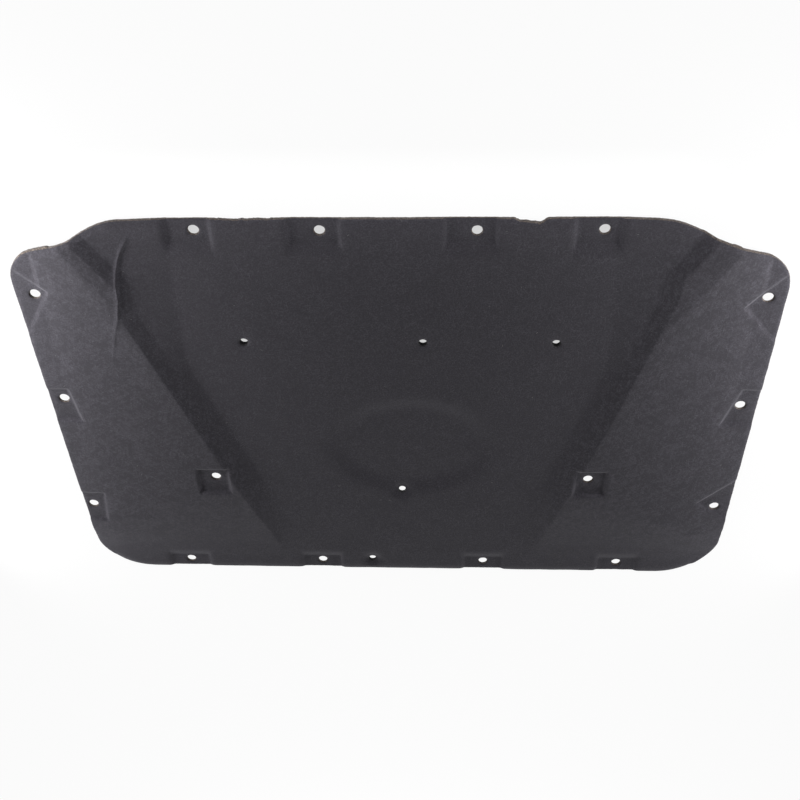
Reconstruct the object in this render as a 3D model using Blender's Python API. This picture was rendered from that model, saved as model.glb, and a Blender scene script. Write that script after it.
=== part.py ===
"""Moulded felt insulation pad for the underside of a car bonnet.

The pad lies face up on its back, with +Y to the rear of the car and the origin under its middle.
It is one press-moulded sheet: a low middle, a raised shelf along each side, a dish in the middle,
and a thin pressed seat round each clip hole.
"""
import math

import bmesh
import bpy
from mathutils import Vector
from mathutils.geometry import delaunay_2d_cdt

# Plan outline
PAD_WIDTH = 1.200            # across the car, over the rear corners
PAD_LENGTH = 0.818           # from the front edge to the rear edge, at the right
LEFT_SHORTER = 0.005         # how far each long edge runs in towards the left
LEFT_REACH = 0.0065          # how much further out the left rear corner stands
RIGHT_REACH = 0.002          # the same for the right one
LEFT_DRAW_IN = 0.015         # how far the left side has run in at the front
# Bends of the outline, as distance in from the side, setback from the rear or front edge, and radius
REAR_END_RIGHT = (0.184, 0.0, 0.118)
REAR_END_LEFT = (0.157, 0.0, 0.086)
SHOULDER_RIGHT = (0.1295, 0.0265, 0.060)
SHOULDER_LEFT = (0.0955, 0.0365, 0.060)
CORNER_SETBACK_RIGHT = 0.0725
CORNER_SETBACK_LEFT = 0.0695
CORNER_RADIUS_RIGHT = 0.065
CORNER_RADIUS_LEFT = 0.0575
FRONT_BEND_RIGHT = (0.0845, 0.0, 0.082)
FRONT_BEND_LEFT = (0.0595, 0.0, 0.098)
FRONT_SIDE_RIGHT = (0.0345, 0.092)   # setback and radius of the bend from a front corner into the side
FRONT_SIDE_LEFT = (0.059, 0.066)

# Sheet
SHEET = 0.010                # thickness where the felt is not pressed
EDGE_SHEET = 0.0065          # thickness at the cut edge
EDGE_ROLL = 0.009            # width over which the face rolls down to the cut edge
FLANGE_WIDTH = 0.040         # pressed strip along each side
FLANGE_DROP = 0.003          # how much thinner that strip is
FLANGE_STEP = 0.007          # width of the step down to it

# Side shelves, the same on both sides apart from the line of the crease
SHELF_RISE = 0.018           # height of a shelf above the middle
WALL_RUN = 0.050             # width of the wall up to it
LOWER_SHARE = 0.46           # share of the wall that lies back into the rear facet
RISE_START = -0.373          # Y where the shelves begin to rise
RISE_END = -0.153            # Y where they are at full height, at RISE_INNER from the side
RISE_END_OUT = -0.275        # the same, at the outer edge
RISE_INNER = 0.300
SHELF_FALL = 0.18            # share of the rise that is lost again by the outer edge
RIDGE_SLOPE = 0.080          # how steeply the shelf goes on rising from the crease to its ridge
RIDGE_SPREAD = 0.60          # how fast that ridge leaves the crease
RIDGE_END = (0.088, 0.357)   # rear end of that ridge, in distance from the side and Y
# Each crease is a chain of straight runs, from front to rear, in distance from the side and Y
CREASE_LEFT = ((0.379, -0.373), (0.157, 0.228), (0.154, 0.295), (0.084, 0.397))
CREASE_RIGHT = ((0.357, -0.373), (0.236, 0.019), (0.165, 0.273), (0.163, 0.313), (0.108, 0.401))
FACET_LEFT = 0.246           # distance of the rear facet's inner edge from the side
FACET_RIGHT = 0.259

# Dish in the middle
DISH_CENTRE = (0.018, -0.069)
DISH_WIDTH = 0.310
DISH_LENGTH = 0.236
DISH_DEPTH = 0.004
DISH_BORDER = 0.24           # share of the dish's radius taken by its sloping border

# Clip holes and their seats
CLIP_HOLE = 0.0186           # diameter
SMALL_HOLE = 0.0145
SEAT_SHEET = 0.004           # thickness left under a clip
SEAT_WALL = 0.006            # width of the drafted wall round a seat
REAR_OUTER_X = 0.310
REAR_INNER_X = 0.119
REAR_HOLE_INSETS = (0.0245, 0.0245, 0.024, 0.021)   # from the rear edge to each hole's centre
REAR_OUTER_SEAT = 0.070      # widths of the rear seats
REAR_INNER_SEAT = 0.080
REAR_SEAT_DEPTH = 0.064      # from the rear edge to where a rear seat has run out
REAR_SEAT_FLAT = 0.044       # the part of that which is level, before its floor ramps up
REAR_SEAT_SHIFT = -0.009     # the rear seats sit a little to the left of their holes
FRONT_OUTER_X = 0.417
FRONT_INNER_X = 0.157
FRONT_HOLE_INSET = 0.0225
FRONT_SEAT_WIDTH = 0.077
FRONT_SEAT_DEPTH = 0.052     # from the front edge to where a front seat has run out
FRONT_SEAT_FLAT = 0.036      # the part of that which is level
SPARE_HOLE = (-0.059, -0.379)
SIDE_HOLE_INSET = 0.0255
SIDE_REAR_Y = 0.2710
SIDE_MIDDLE_LEFT_Y = 0.0500
SIDE_MIDDLE_RIGHT_Y = 0.0440
SIDE_FRONT_LEFT_Y = -0.2130
SIDE_FRONT_RIGHT_Y = -0.2060
SHELF_HOLE = (0.2645, -0.1345)  # distance from the side, and Y
SHELF_SEAT = (0.055, 0.060)
MIDDLE_ROW = (-0.255, 0.038, 0.255)
MIDDLE_ROW_Y = 0.170
DISH_HOLE = (0.001, -0.1835)

# Fineness of the mesh
ARC_STEP = math.radians(9.0)
HOLE_SIDES = 20
LINE_STEP = 0.034
FILL_STEP = 0.046

HALF_WIDTH = PAD_WIDTH / 2
REAR = PAD_LENGTH / 2
FRONT = -PAD_LENGTH / 2
BEYOND = 0.030               # how far lines and seats run past the outline that trims them


def clamp(value, low=0.0, high=1.0):
    return max(low, min(high, value))


def ease(t):
    t = clamp(t)
    return t * t * (3.0 - 2.0 * t)


def line_inset(points, y):
    """Distance from the side of a chain of straight runs at Y, with its ends run on."""
    for (x0, y0), (x1, y1) in zip(points, points[1:]):
        if y <= y1:
            break
    return x0 + (x1 - x0) * (y - y0) / (y1 - y0)


# The side shelves

def rise(out, y):
    """Height of a shelf, which comes up sooner towards its outer edge."""
    share = clamp((out - HALF_WIDTH + RISE_INNER) / RISE_INNER)
    end = RISE_END + (RISE_END_OUT - RISE_END) * share
    return SHELF_RISE * ease((y - RISE_START) / (end - RISE_START))


def crease(side, y):
    return HALF_WIDTH - line_inset(CREASE_RIGHT if side > 0 else CREASE_LEFT, y)


def wall_run(side, y):
    return WALL_RUN * rise(crease(side, y), y) / SHELF_RISE


def wall_bend(side, y):
    return crease(side, y) - (1.0 - LOWER_SHARE) * wall_run(side, y)


def wall_foot(side, y):
    facet = HALF_WIDTH - (FACET_RIGHT if side > 0 else FACET_LEFT)
    return min(crease(side, y) - wall_run(side, y), facet)


def ridge(side, y):
    return max(crease(side, y), HALF_WIDTH - RIDGE_END[0] - RIDGE_SPREAD * (RIDGE_END[1] - y))


def shelf_height(x, y):
    """Height of the back of the pad, before the seats are pressed."""
    side = 1 if x > 0 else -1
    out = abs(x)
    foot, bend = wall_foot(side, y), wall_bend(side, y)
    edge, top = crease(side, y), ridge(side, y)
    full = rise(max(out, edge), y)
    if full <= 0.0 or out <= foot:
        return 0.0
    if out < bend:
        return LOWER_SHARE * full * (out - foot) / (bend - foot)
    if out < edge:
        return full * (LOWER_SHARE + (1.0 - LOWER_SHARE) * (out - bend) / (edge - bend))
    crown = full + RIDGE_SLOPE * (top - edge)
    if out < top:
        return full + RIDGE_SLOPE * (out - edge)
    fall = clamp((out - top) / (HALF_WIDTH - top))
    return crown + (full * (1.0 - SHELF_FALL) - crown) * fall


# The sheet

def dish_radius(x, y):
    """Distance from the dish's centre as a share of its radius in that direction."""
    return math.hypot((x - DISH_CENTRE[0]) / (DISH_WIDTH / 2), (y - DISH_CENTRE[1]) / (DISH_LENGTH / 2))


def sheet(x, y, edge_distance):
    """Thickness of the pad, before the seats are pressed."""
    thick = SHEET - DISH_DEPTH * ease((1.0 - dish_radius(x, y)) / DISH_BORDER)
    step = HALF_WIDTH - FLANGE_WIDTH
    thick -= FLANGE_DROP * clamp((abs(x) - step) / FLANGE_STEP)
    roll = 1.0 - clamp(edge_distance / EDGE_ROLL)
    return thick + min(0.0, EDGE_SHEET - thick) * roll


# Outline, holes and seats

def rounded(corners):
    """Closed chain of points from (x, y, radius) corners, with each corner turned into an arc."""
    points = []
    count = len(corners)
    for i, (x, y, radius) in enumerate(corners):
        here = Vector((x, y))
        back = (Vector(corners[i - 1][:2]) - here).normalized()
        on = (Vector(corners[(i + 1) % count][:2]) - here).normalized()
        half = back.angle(on) / 2
        centre = here + (back + on).normalized() * radius / math.sin(half)
        first = here + back * radius / math.tan(half) - centre
        turn = math.pi - 2 * half
        steps = max(2, round(turn / ARC_STEP))
        way = 1 if back.x * on.y - back.y * on.x < 0 else -1
        for k in range(steps + 1):
            a = way * turn * k / steps
            points.append((centre.x + first.x * math.cos(a) - first.y * math.sin(a),
                           centre.y + first.x * math.sin(a) + first.y * math.cos(a)))
    return points


def outline():
    def bend(side, values, edge, way):
        inward, setback, radius = values
        return side * (HALF_WIDTH - inward), edge + way * setback, radius

    right = [
        bend(1, FRONT_BEND_RIGHT, FRONT, 1),
        bend(1, (0.0, *FRONT_SIDE_RIGHT), FRONT, 1),
        bend(1, (-RIGHT_REACH, CORNER_SETBACK_RIGHT, CORNER_RADIUS_RIGHT), REAR, -1),
        bend(1, SHOULDER_RIGHT, REAR, -1),
        bend(1, REAR_END_RIGHT, REAR, -1),
    ]
    left = [
        bend(-1, REAR_END_LEFT, REAR - LEFT_SHORTER, -1),
        bend(-1, SHOULDER_LEFT, REAR, -1),
        bend(-1, (-LEFT_REACH, CORNER_SETBACK_LEFT, CORNER_RADIUS_LEFT), REAR, -1),
        bend(-1, (LEFT_DRAW_IN, *FRONT_SIDE_LEFT), FRONT + LEFT_SHORTER, 1),
        bend(-1, FRONT_BEND_LEFT, FRONT + LEFT_SHORTER, 1),
    ]
    return rounded(right + left)


def circle(cx, cy, rx, ry, sides):
    angles = [2 * math.pi * (k + 0.5) / sides for k in range(sides)]
    return [(cx + rx * math.cos(a), cy + ry * math.sin(a)) for a in angles]


def rectangle(x0, x1, y0, y1):
    return [(x0, y0), (x1, y0), (x1, y1), (x0, y1)]


def mirrored(corners):
    return [(-x, y) for x, y in reversed(corners)]


def notch(reach, tip, rearward, forward):
    """Three-cornered seat on the right side: its tip, and how far it runs along the edge."""
    edge = HALF_WIDTH
    lean_rear = (rearward - tip) / reach * BEYOND
    lean_front = (forward + tip) / reach * BEYOND
    return [(edge - reach, tip),
            (edge + BEYOND, -forward - lean_front),
            (edge + BEYOND, rearward + lean_rear)]


def block(rear_reach, front_reach, rearward, forward):
    """Four-cornered seat on the right side, with its inner end slanted."""
    edge = HALF_WIDTH
    return [(edge - front_reach, -forward), (edge + BEYOND, -forward),
            (edge + BEYOND, rearward), (edge - rear_reach, rearward)]


def clips():
    """Each hole with its seat: (x, y, diameter, corners of the seat or None)."""
    rows = []
    rear = ((-REAR_OUTER_X, REAR_OUTER_SEAT), (-REAR_INNER_X, REAR_INNER_SEAT),
            (REAR_INNER_X, REAR_INNER_SEAT), (REAR_OUTER_X, REAR_OUTER_SEAT))
    for (hole_x, width), hole_inset in zip(rear, REAR_HOLE_INSETS):
        mid = hole_x + REAR_SEAT_SHIFT
        seat = rectangle(mid - width / 2, mid + width / 2, REAR - REAR_SEAT_DEPTH, REAR + BEYOND)
        rows.append((hole_x, REAR - hole_inset, CLIP_HOLE, seat))
    for hole_x in (-FRONT_OUTER_X, -FRONT_INNER_X, FRONT_INNER_X, FRONT_OUTER_X):
        seat = rectangle(hole_x - FRONT_SEAT_WIDTH / 2, hole_x + FRONT_SEAT_WIDTH / 2,
                         FRONT - BEYOND, FRONT + FRONT_SEAT_DEPTH)
        rows.append((hole_x, FRONT + FRONT_HOLE_INSET, CLIP_HOLE, seat))
    sides = ((1, SIDE_REAR_Y, notch(0.058, -0.0175, 0.0515, 0.0845)),
             (1, SIDE_MIDDLE_RIGHT_Y, block(0.029, 0.052, 0.037, 0.042)),
             (1, SIDE_FRONT_RIGHT_Y, notch(0.060, 0.0115, 0.0715, 0.0355)),
             (-1, SIDE_REAR_Y, notch(0.047, 0.0065, 0.0495, 0.0755)),
             (-1, SIDE_MIDDLE_LEFT_Y, block(0.037, 0.048, 0.0235, 0.0485)),
             (-1, SIDE_FRONT_LEFT_Y, block(0.052, 0.045, 0.032, 0.040)))
    for side, hole_y, seat in sides:
        seat = [(x, hole_y + y) for x, y in seat]
        rows.append((side * (HALF_WIDTH - SIDE_HOLE_INSET), hole_y, CLIP_HOLE,
                     seat if side > 0 else mirrored(seat)))
    hole_x, hole_y = HALF_WIDTH - SHELF_HOLE[0], SHELF_HOLE[1]
    width, length = SHELF_SEAT
    seat = rectangle(hole_x - 0.43 * width, hole_x + 0.57 * width,
                     hole_y - 0.65 * length, hole_y + 0.35 * length)
    rows.append((hole_x, hole_y, CLIP_HOLE, seat))
    rows.append((-hole_x, hole_y, CLIP_HOLE, mirrored(seat)))
    rows += [(x, MIDDLE_ROW_Y, SMALL_HOLE, None) for x in MIDDLE_ROW]
    rows += [(*DISH_HOLE, SMALL_HOLE, None), (*SPARE_HOLE, SMALL_HOLE, None)]
    return rows


def outside(corners, x, y):
    """Distance of a point outside a convex seat, and negative inside it."""
    worst = -1.0
    for (x0, y0), (x1, y1) in zip(corners, corners[1:] + corners[:1]):
        length = math.hypot(x1 - x0, y1 - y0)
        worst = max(worst, ((x - x0) * (y1 - y0) - (y - y0) * (x1 - x0)) / length)
    return worst


def grown(corners, by):
    """A convex seat with every side moved out by the same distance."""
    result = []
    count = len(corners)
    for i in range(count):
        here = Vector(corners[i])
        back = (Vector(corners[i - 1]) - here).normalized()
        on = (Vector(corners[(i + 1) % count]) - here).normalized()
        half = back.angle(on) / 2
        result.append(tuple(here - (back + on).normalized() * by / math.sin(half)))
    return result


# The two faces of the pad

def ramp(hole_y, y):
    """How far the floor of a rear or front seat has come up to the face again, as a share."""
    if hole_y > REAR - REAR_SEAT_FLAT:
        return clamp((REAR - REAR_SEAT_FLAT - y) / (REAR_SEAT_DEPTH - REAR_SEAT_FLAT))
    if hole_y < FRONT + FRONT_SEAT_FLAT:
        return clamp((y - FRONT - FRONT_SEAT_FLAT) / (FRONT_SEAT_DEPTH - FRONT_SEAT_FLAT))
    return 0.0


def surfaces(x, y, edge_distance, seats):
    """Height of the back and of the face at a point of the plan."""
    back = shelf_height(x, y)
    face = back + sheet(x, y, edge_distance)
    for hole_x, hole_y, corners in seats:
        depth = clamp(0.5 - outside(corners, x, y) / SEAT_WALL)
        if depth > 0.0:
            floor = shelf_height(hole_x, hole_y)
            raised = (SHEET - SEAT_SHEET) * ramp(hole_y, y)
            face += depth * (min(face, floor + SEAT_SHEET + raised) - face)
            back += depth * (min(back, floor) - back)
    return back, face


def stations(y0, y1, keep):
    """Y values from y0 to y1 that are LINE_STEP apart or less and hit each value in keep."""
    stops = sorted({y0, y1, *[y for y in keep if y0 < y < y1]})
    values = []
    for a, b in zip(stops, stops[1:]):
        steps = max(1, math.ceil((b - a) / LINE_STEP))
        values += [a + (b - a) * k / steps for k in range(steps)]
    return values + [stops[-1]]


def inset(loop, by):
    """A closed chain of points moved inwards along its own normals."""
    result = []
    count = len(loop)
    for i in range(count):
        along = (Vector(loop[(i + 1) % count]) - Vector(loop[i - 1])).normalized()
        result.append((loop[i][0] - along.y * by, loop[i][1] + along.x * by))
    return result


def split(loop):
    """A closed chain with its long runs divided."""
    result = []
    for a, b in zip(loop, loop[1:] + loop[:1]):
        steps = max(1, math.ceil(math.dist(a, b) / (1.5 * LINE_STEP)))
        result += [(a[0] + (b[0] - a[0]) * k / steps, a[1] + (b[1] - a[1]) * k / steps)
                   for k in range(steps)]
    return result


def segment_distance(p, a, b):
    ax, ay = b[0] - a[0], b[1] - a[1]
    t = clamp(((p[0] - a[0]) * ax + (p[1] - a[1]) * ay) / (ax * ax + ay * ay))
    return math.hypot(p[0] - a[0] - t * ax, p[1] - a[1] - t * ay)


def loop_distance(p, loop):
    return min(segment_distance(p, a, b) for a, b in zip(loop, loop[1:] + loop[:1]))


def inside(p, loop):
    odd = False
    for (x0, y0), (x1, y1) in zip(loop, loop[1:] + loop[:1]):
        if (y0 > p[1]) != (y1 > p[1]) and p[0] < x0 + (x1 - x0) * (p[1] - y0) / (y1 - y0):
            odd = not odd
    return odd


def plan_lines(edge, holes):
    """Every line of the plan that has to be an edge of the mesh, as (points, closed)."""
    lines = [(edge, True), (inset(edge, EDGE_ROLL), True)]
    for x, y, diameter, seat in holes:
        radius = diameter / 2 / math.cos(math.pi / HOLE_SIDES)
        lines.append((circle(x, y, radius, radius, HOLE_SIDES), True))
        if seat:
            lines.append((split(grown(seat, -SEAT_WALL / 2)), True))
            lines.append((split(grown(seat, SEAT_WALL / 2)), True))
        left, right = (seat[0][0] + SEAT_WALL / 2, seat[1][0] - SEAT_WALL / 2) if seat else (x, x)
        for bend_y, has_ramp in ((REAR - REAR_SEAT_FLAT, y > REAR - REAR_SEAT_FLAT),
                                 (FRONT + FRONT_SEAT_FLAT, y < FRONT + FRONT_SEAT_FLAT)):
            if seat and has_ramp:
                lines.append(([(left, bend_y), (right, bend_y)], False))
    for share in (1.0, 1.0 - 0.5 * DISH_BORDER, 1.0 - DISH_BORDER):
        lines.append((circle(*DISH_CENTRE, share * DISH_WIDTH / 2, share * DISH_LENGTH / 2, 36), True))
    top = REAR + BEYOND
    for side in (-1, 1):
        bends = [y for x, y in (CREASE_RIGHT if side > 0 else CREASE_LEFT)]
        rows = stations(RISE_START, top, bends)
        for rule in (wall_foot, wall_bend, crease):
            lines.append(([(side * rule(side, y), y) for y in rows], False))
        ridges = [(side * ridge(side, y), y) for y in rows if ridge(side, y) > crease(side, y) + 0.002]
        lines.append((ridges, False))
        for step in (0.0, FLANGE_STEP):
            x = side * (HALF_WIDTH - FLANGE_WIDTH + step)
            lines.append(([(x, y) for y in stations(FRONT, REAR, [])], False))
    return lines


def plan_mesh(edge, holes):
    """Triangles of the plan, with the holes left open."""
    points, edges = [], []
    for line, closed in plan_lines(edge, holes):
        start = len(points)
        points += line
        edges += [(start + i, start + i + 1) for i in range(len(line) - 1)]
        if closed:
            edges.append((len(points) - 1, start))
    segments = [(points[a], points[b]) for a, b in edges]
    row, y = 0, FRONT
    while y < REAR:
        x = -HALF_WIDTH + (row % 2) * FILL_STEP / 2
        while x < HALF_WIDTH:
            if min(segment_distance((x, y), a, b) for a, b in segments) > 0.38 * FILL_STEP:
                points.append((x, y))
            x += FILL_STEP
        y += FILL_STEP * math.sqrt(0.75)
        row += 1
    verts, _, faces, _, _, _ = delaunay_2d_cdt([Vector(p) for p in points], edges, [], 0, 1e-4)
    kept = []
    for face in faces:
        middle = sum((verts[i] for i in face), Vector((0.0, 0.0))) / len(face)
        if inside(middle, edge) and all(math.dist(middle, (x, y)) > d / 2 for x, y, d, _ in holes):
            kept.append(face)
    return verts, kept


def hood_pad(collection):
    edge, holes = split(outline()), clips()
    seats = [(x, y, seat) for x, y, _, seat in holes if seat]
    verts, faces = plan_mesh(edge, holes)

    bm = bmesh.new()
    used = {i: bm.verts.new((*verts[i], 0.0)) for i in sorted({i for face in faces for i in face})}
    for face in faces:
        bm.faces.new([used[i] for i in face])
    bmesh.ops.recalc_face_normals(bm, faces=bm.faces)
    if sum(f.normal.z for f in bm.faces) > 0:
        bmesh.ops.reverse_faces(bm, faces=bm.faces)
    backs = list(bm.verts)
    raised = bmesh.ops.extrude_face_region(bm, geom=bm.faces[:])["geom"]
    fronts = {(v.co.x, v.co.y): v for v in raised if isinstance(v, bmesh.types.BMVert)}
    for v in backs:
        top = fronts[(v.co.x, v.co.y)]
        v.co.z, top.co.z = surfaces(v.co.x, v.co.y, loop_distance(v.co, edge), seats)
    across = [v.co.x for v in bm.verts]
    bmesh.ops.translate(bm, vec=(-(min(across) + max(across)) / 2, 0.0, 0.0), verts=bm.verts)
    bmesh.ops.recalc_face_normals(bm, faces=bm.faces)

    mesh = bpy.data.meshes.new("hood_pad")
    bm.to_mesh(mesh)
    bm.free()
    mesh.shade_smooth()
    mesh.set_sharp_from_angle(angle=math.radians(12.0))
    pad = bpy.data.objects.new("hood_pad", mesh)
    collection.objects.link(pad)
    return pad


def felt():
    material = bpy.data.materials.new("black_felt")
    material.use_nodes = True
    shader = material.node_tree.nodes["Principled BSDF"]
    shader.inputs["Base Color"].default_value = (0.034, 0.033, 0.038, 1.0)
    shader.inputs["Roughness"].default_value = 0.92
    shader.inputs["Metallic"].default_value = 0.0
    return material


for old in list(bpy.data.objects):
    bpy.data.objects.remove(old, do_unlink=True)
parts = bpy.data.collections.new("hood_insulation_pad")
bpy.context.scene.collection.children.link(parts)
hood_pad(parts).data.materials.append(felt())
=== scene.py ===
"""Dressed model of a moulded felt insulation pad for a car bonnet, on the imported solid's own surfaces.

The pad lies face up, with +Y to the rear of the car, and the camera looks down on it from the rear.
"""
import math

import bmesh
import bpy
import numpy as np
from mathutils import Matrix, Vector
from mathutils.geometry import delaunay_2d_cdt


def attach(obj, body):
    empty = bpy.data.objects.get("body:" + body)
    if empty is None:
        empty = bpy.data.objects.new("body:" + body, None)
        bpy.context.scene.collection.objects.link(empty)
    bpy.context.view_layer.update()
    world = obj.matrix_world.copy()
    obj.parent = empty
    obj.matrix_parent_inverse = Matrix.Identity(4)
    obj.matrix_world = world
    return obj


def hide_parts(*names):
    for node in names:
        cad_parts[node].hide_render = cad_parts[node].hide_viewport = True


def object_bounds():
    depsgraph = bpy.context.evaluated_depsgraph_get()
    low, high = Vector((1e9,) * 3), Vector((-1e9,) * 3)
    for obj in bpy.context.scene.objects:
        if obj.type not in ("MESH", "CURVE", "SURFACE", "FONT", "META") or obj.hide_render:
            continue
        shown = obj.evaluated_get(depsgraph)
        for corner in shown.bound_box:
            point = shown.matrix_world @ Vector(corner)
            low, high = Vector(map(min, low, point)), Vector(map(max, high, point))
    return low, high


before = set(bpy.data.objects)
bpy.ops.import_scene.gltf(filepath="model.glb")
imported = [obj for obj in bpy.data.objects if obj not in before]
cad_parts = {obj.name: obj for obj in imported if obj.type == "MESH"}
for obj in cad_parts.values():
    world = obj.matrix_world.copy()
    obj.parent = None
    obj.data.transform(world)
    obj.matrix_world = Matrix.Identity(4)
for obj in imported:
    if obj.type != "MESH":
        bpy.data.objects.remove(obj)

cad_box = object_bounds()

# Fineness
RASTER = 0.0012              # step of the height maps
FACE_STEP = 0.0044           # spacing of the points of the felt face
BACK_STEP = 0.0085           # spacing of the points of the back
RIM_STEP = 0.0022            # spacing along the cut edge
FACE_GAP, BACK_GAP = 0.62, 0.68    # least distance between points, as a share of their spacing
CREASE_ANGLE = math.radians(5.0)
FACE_CREASE_STEP, FACE_CREASE_GAP = 0.0032, 0.0013
FACE_CREASE_ROWS = 0.0, -0.0015, 0.0015      # rows of points along a crease of the face, and beside it
BACK_CREASE_STEP, BACK_CREASE_GAP = 0.006, 0.0045
FOLD_STEP, FOLD_GAP, FOLD_ROWS = 0.0017, 0.0013, 6
UPRIGHT = 0.2                # a face whose normal rises less than this is part of a cut edge
LEVEL = 0.3                  # one whose normal rises more than this is part of the face or the back

# Softness of the pressed shapes
FACE_SOFTNESS = 0.0012        # where the felt is pressed sharp
FOOT_SOFTNESS = 0.0036        # where the walls of the shelves run out into the middle
FOOT_BLEND = 0.003            # width over which one softness passes into the other
BACK_SOFTNESS = 0.0032
OUTLINE_SOFTNESS = 0.006      # corners of the outline

# Cut edge, from the face to the back: how far each row stands out from the outline, how far from the
# sides of a hole, and its height as a share of the thickness
RIM_ROWS = ((-0.0007, -0.0008, 1.0), (0.0002, 0.0, 0.87), (0.0007, 0.0005, 0.64),
            (0.0008, 0.0009, 0.38), (0.0004, 0.0011, 0.13), (-0.0004, 0.0008, 0.0))
# Material slots; the backing's slot also paints shade on the walls of small holes
FACE_RIM, CORE_RIM, BACK_AND_HOLE_SHADE_RIM = 0, 1, 2
RIM_SLOTS = (FACE_RIM, CORE_RIM, CORE_RIM, CORE_RIM, BACK_AND_HOLE_SHADE_RIM)
RIM_ROUGH, RIM_ROUGH_FRAYED = 0.00022, 0.0006      # in and out, on a clean cut and on top where it is frayed
RIM_UNEVEN = 0.00015                               # up and down

# Slow unevenness, as (height, size, seed): of the outline, of the face, and inside the frayed and torn parts
OUTLINE_WAVER = ((0.00030, 0.021, 11), (0.00016, 0.0052, 12))
FACE_SWELL = ((0.00042, 0.083, 21), (0.00020, 0.031, 22), (0.00010, 0.012, 23))
FRAY_ROUGH = ((0.0011, 0.0066, 13),)
TEAR_ROUGH = ((0.0006, 0.0045, 14),)
HOLE_ROUGH, HOLE_ROUGH_SIZE = 0.00018, 0.6
HOLE_TIGHTER = 0.00012       # how much the felt closes in on a punched hole
CLIP_HOLE_SIDES, SMALL_HOLE_SIDES = 40, 34

# Torn bite in the rear edge, as (x, depth), and the frayed stretch of the rear edge
REAR_EDGE = 0.36             # the rear edge lies behind this Y
TORN_BITE = ((0.1746, 0.0), (0.179, 0.0032), (0.186, 0.0048), (0.198, 0.0060), (0.208, 0.0068),
             (0.2146, 0.0086), (0.2176, 0.0062), (0.2206, 0.0040), (0.226, 0.0))
TORN_FROM, TORN_FULL = 0.001, 0.004     # depths at which the torn edge is rough, and fully frayed
FRAYED = (-0.273, -0.183)
FRAY_DEPTH, FRAY_SHARE = 0.0007, 0.6

# Where the core stands out past the face along the shoulders, as (x, how far)
CORE_SHOWS = ((-0.590, 0.0), (-0.575, 0.0016), (-0.531, 0.0024), (-0.529, 0.0),
              (0.452, 0.0), (0.456, 0.0011), (0.500, 0.0013), (0.503, 0.0026),
              (0.513, 0.0024), (0.517, 0.0012), (0.560, 0.0009), (0.580, 0.0))
CORE_SHOWS_FROM = 0.32       # the core stands out only behind this Y

# Fold in the left shelf, from rear to front, as (x, y, height)
FOLD = ((-0.408, 0.381, 0.0002), (-0.4125, 0.370, 0.0018), (-0.4208, 0.356, 0.0030), (-0.429, 0.338, 0.0034),
        (-0.4345, 0.318, 0.0035), (-0.437, 0.297, 0.0033), (-0.4385, 0.265, 0.0031), (-0.447, 0.226, 0.0015),
        (-0.456, 0.199, 0.0009), (-0.4655, 0.163, 0.0006), (-0.473, 0.124, 0.0))
FOLD_LEFT, FOLD_RIGHT = 0.0034, 0.0021     # widths of its two flanks
FOLD_POWER = 1.4                           # how quickly the flanks fall away

SMALL_HOLE_LIMIT = 0.0085    # a hole of less radius than this has no pressed seat, only a dimple
DIMPLE_WIDTH = 0.010
MIDDLE_DIMPLE, FRONT_DIMPLE = 0.0009, 0.0046      # depths of the dimples in the rear and in the front half

# Hollow between the ridge of a side shelf and the flatter strip along its edge
SIDE_STRIP = 0.041           # width of the strip
RIDGE_REAR = 0.357           # Y of the ridge's rear end
RIDGE_IN, RIDGE_LEAN = 0.090, 0.45     # the ridge's distance from the side at its rear end, and its slant
HOLLOW_REAR, HOLLOW_FRONT = 0.0052, 0.0006
HOLLOW_GROWS = 0.15, 0.35    # it deepens from this far ahead of the middle, over this length
HOLLOW_STARTS = 0.30, 0.10   # it sets in from this far ahead of the middle, over this length
HOLLOW_EDGE_LEFT = 0.55      # share of the hollow that the left edge itself sinks by
SEAT_LEVELLING = 0.018       # width over which the sinking is evened out in a seat
SEAT_FELT, LOOSE_FELT = 0.0046, 0.0064    # thickness of a pressed seat, and of felt clear of it

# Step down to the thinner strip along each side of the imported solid, which the felt takes more gently
STEP_MIDDLE = 0.0016         # X midway between the two steps
STEP_OUT, STEP_WIDTH, STEP_HEIGHT = 0.560, 0.007, 0.003
STEP_SPREAD = 0.075          # width over which the felt thins instead
STEP_KEPT = 0.25, 0.31       # Y over which the step comes back towards the rear corners

# Face of the middle, and the height up to which the foot of a wall is rounded
MIDDLE_FACE, FOOT_TOP = 0.0100, 0.0160

# Dish in the middle: how much deeper the felt sinks than the solid
MIDDLE_HALF = 0.200
DISH_REAR, DISH_FRONT = 0.060, -0.200
DISH_GAIN = 0.7
DISH_SOFTNESS = 0.008

# Felt, as dark and pale fibre of each kind
BLACK_FELT = (0.0305, 0.0284, 0.0347), (0.068, 0.0635, 0.077)
BROWN_CORE = (0.036, 0.029, 0.026), (0.205, 0.167, 0.142)
# The backing's tones are also painted on the walls of small holes, as shade inside them
DARK_BACKING_AND_HOLE_SHADE = (0.017, 0.016, 0.018), (0.05, 0.048, 0.052)
LOOSE_FIBRE = (0.035, 0.030, 0.028), (0.16, 0.135, 0.115)
PALE_LINT = (0.16, 0.155, 0.15), (0.34, 0.33, 0.32)
STRANDS = ((12, 0.0133, 0.0019), (58, 0.0105, 0.0016), (101, 0.0125, 0.0018), (148, 0.0091, 0.0017))
STROKE_TURNS, STROKE_LENGTH, STROKE_WIDTH = (24, 78, 137), 0.027, 0.0056
SWIRL_SCALE, SWIRL_PUSH = 14.0, 0.030
MOTTLE_SCALE, GRAIN_SCALE = 34.0, 430.0
WEAR_LOW, WEAR_HIGH, WEAR_LEAST = 0.011, 0.022, 0.2    # heights between which wear grows, and its least share
SPECULAR, SHEEN_ROUGHNESS, SHEEN_TINT = 0.30, 0.42, (0.93, 0.92, 1.0, 1.0)
RELIEF = 0.0008

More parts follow.
